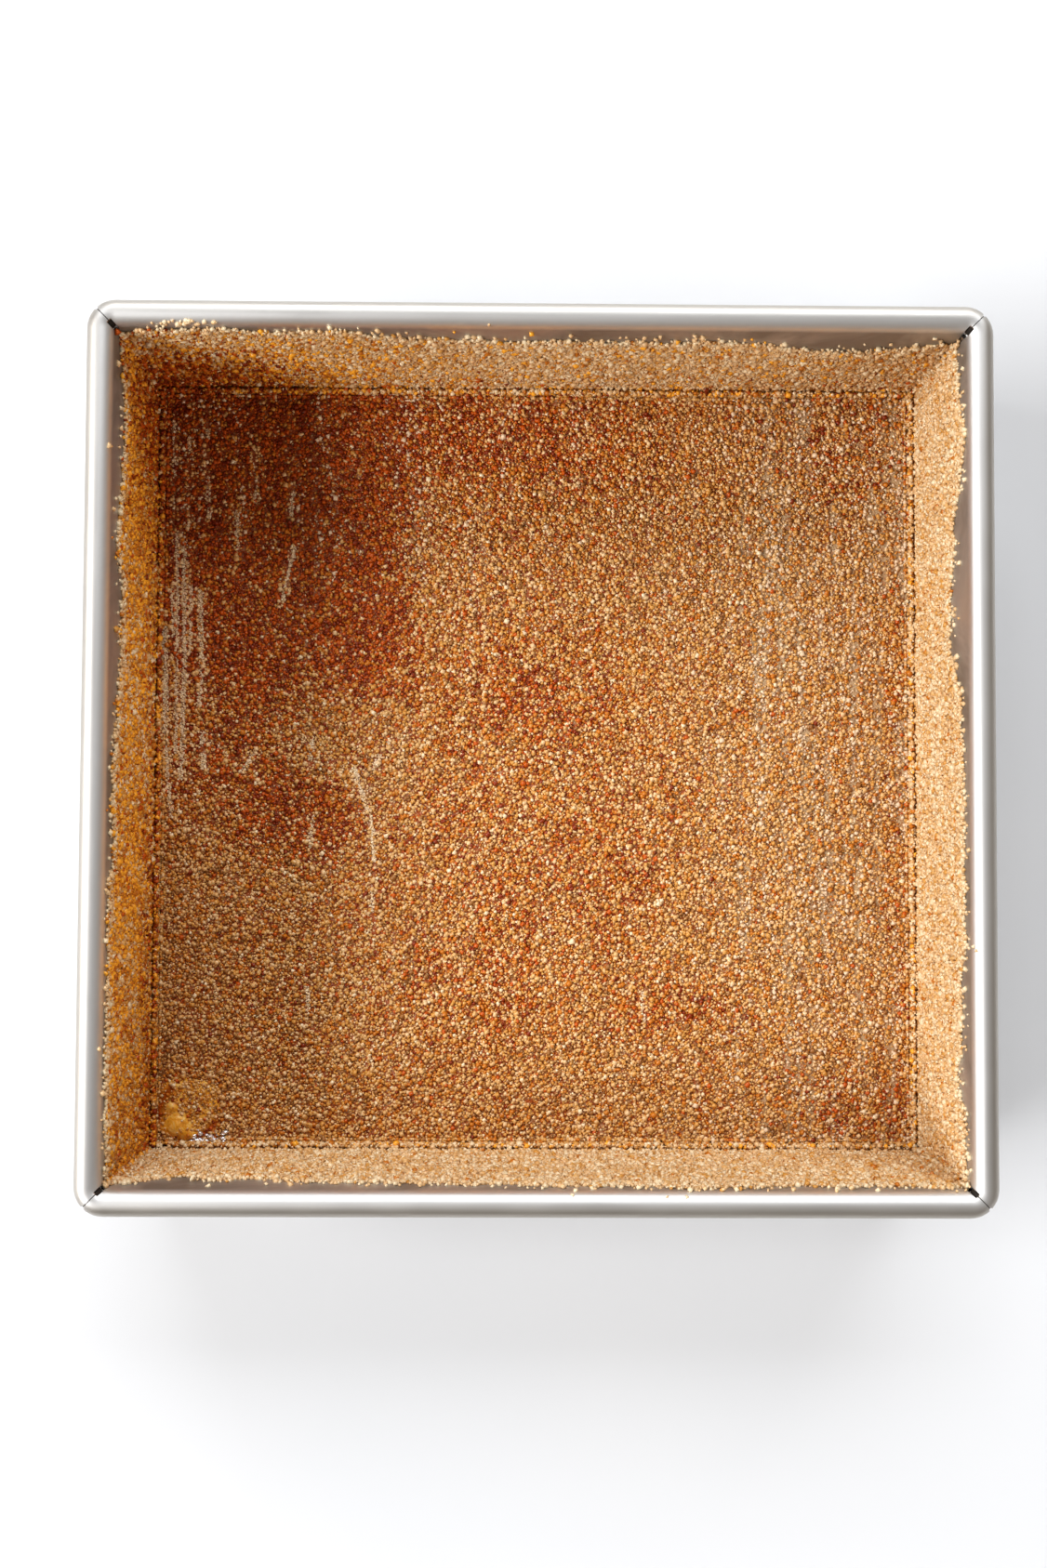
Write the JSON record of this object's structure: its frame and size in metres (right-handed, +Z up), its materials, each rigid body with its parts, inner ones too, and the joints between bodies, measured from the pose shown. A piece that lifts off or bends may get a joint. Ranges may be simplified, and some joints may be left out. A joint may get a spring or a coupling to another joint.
{
  "type": "square cake pan",
  "caption": "Square loose-base cake pan with straight sides, rolled rims and open mitred corners, lined with butter and brown sugar.",
  "frame": {"origin": "middle of the pan's foot, where it stands on a table or an oven shelf", "axes": "+Z up out of the pan's open top, +X to the right, +Y to the back"},
  "size_m": [0.216, 0.216, 0.053],
  "materials": {
    "pan_sheet": "satin",
    "rim_wire": "satin",
    "weld_bead": "satin",
    "brown_sugar": "matte",
    "butter_and_sugar": "satin"
  },
  "bodies": {
    "sides": {"side_panel_back": "pan_sheet", "side_panel_left": "pan_sheet", "side_panel_front": "pan_sheet", "side_panel_right": "pan_sheet", "rim_wire_back": "rim_wire", "rim_wire_left": "rim_wire", "rim_wire_front": "rim_wire", "rim_wire_right": "rim_wire", "corner_weld_back_left": "weld_bead", "corner_weld_front_left": "weld_bead", "corner_weld_front_right": "weld_bead", "corner_weld_back_right": "weld_bead", "sugar_coat_back": "brown_sugar", "sugar_coat_left": "brown_sugar", "sugar_coat_front": "brown_sugar", "sugar_coat_right": "brown_sugar"},
    "base": {"loose_base": "pan_sheet", "sugar_coat_base": "brown_sugar", "butter_clump": "butter_and_sugar"}
  },
  "joints": [
    {"name": "base_lift", "type": "slide", "parent": "sides", "child": "base", "axis": [0, 0, 1], "range_m": [0, 0.06]}
  ]
}
